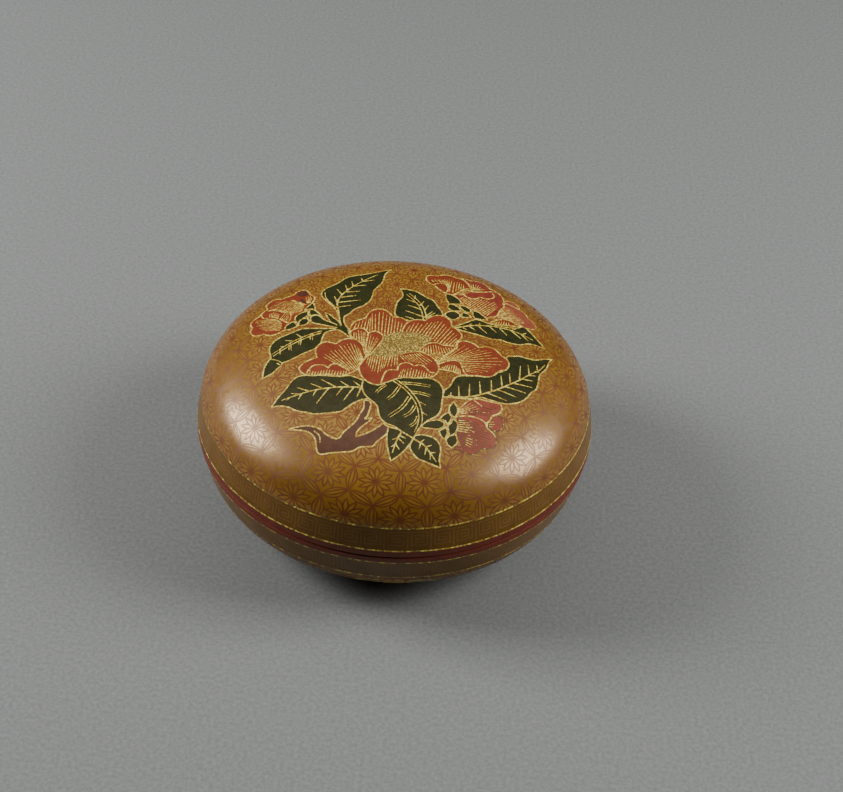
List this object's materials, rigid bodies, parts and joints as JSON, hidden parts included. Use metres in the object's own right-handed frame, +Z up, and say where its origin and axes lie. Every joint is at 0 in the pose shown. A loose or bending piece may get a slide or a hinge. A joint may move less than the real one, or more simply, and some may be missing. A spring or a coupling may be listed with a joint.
{
  "type": "round covered box",
  "caption": "Round lacquered wood box with a low foot ring and a domed lift-off lid that seats around an upright lip; inlaid flower spray and fret bands.",
  "frame": {"origin": "centre of the foot ring's underside, on the table", "axes": "+Z up along the turning axis; the spray on the lid reads upright for a viewer on the -Y side, with +X to the right"},
  "size_m": [0.105, 0.105, 0.0482],
  "materials": {
    "ochre_lacquer": "polished ochre lacquer on wood, with a fine incised flower diaper and key-fret bands in red-brown",
    "red_lacquer": "plain polished red lacquer on the rims and the insides, and red inlaid petals",
    "green_lacquer": "inlaid green-black lacquer leaves, flush and polished",
    "brown_lacquer": "inlaid purple-brown lacquer branch, and the dark lacquer under the foot",
    "gold_line": "gold powder in incised lines, worn in places"
  },
  "bodies": {
    "root": {"base": "ochre_lacquer", "lid": "ochre_lacquer"}
  },
  "joints": []
}
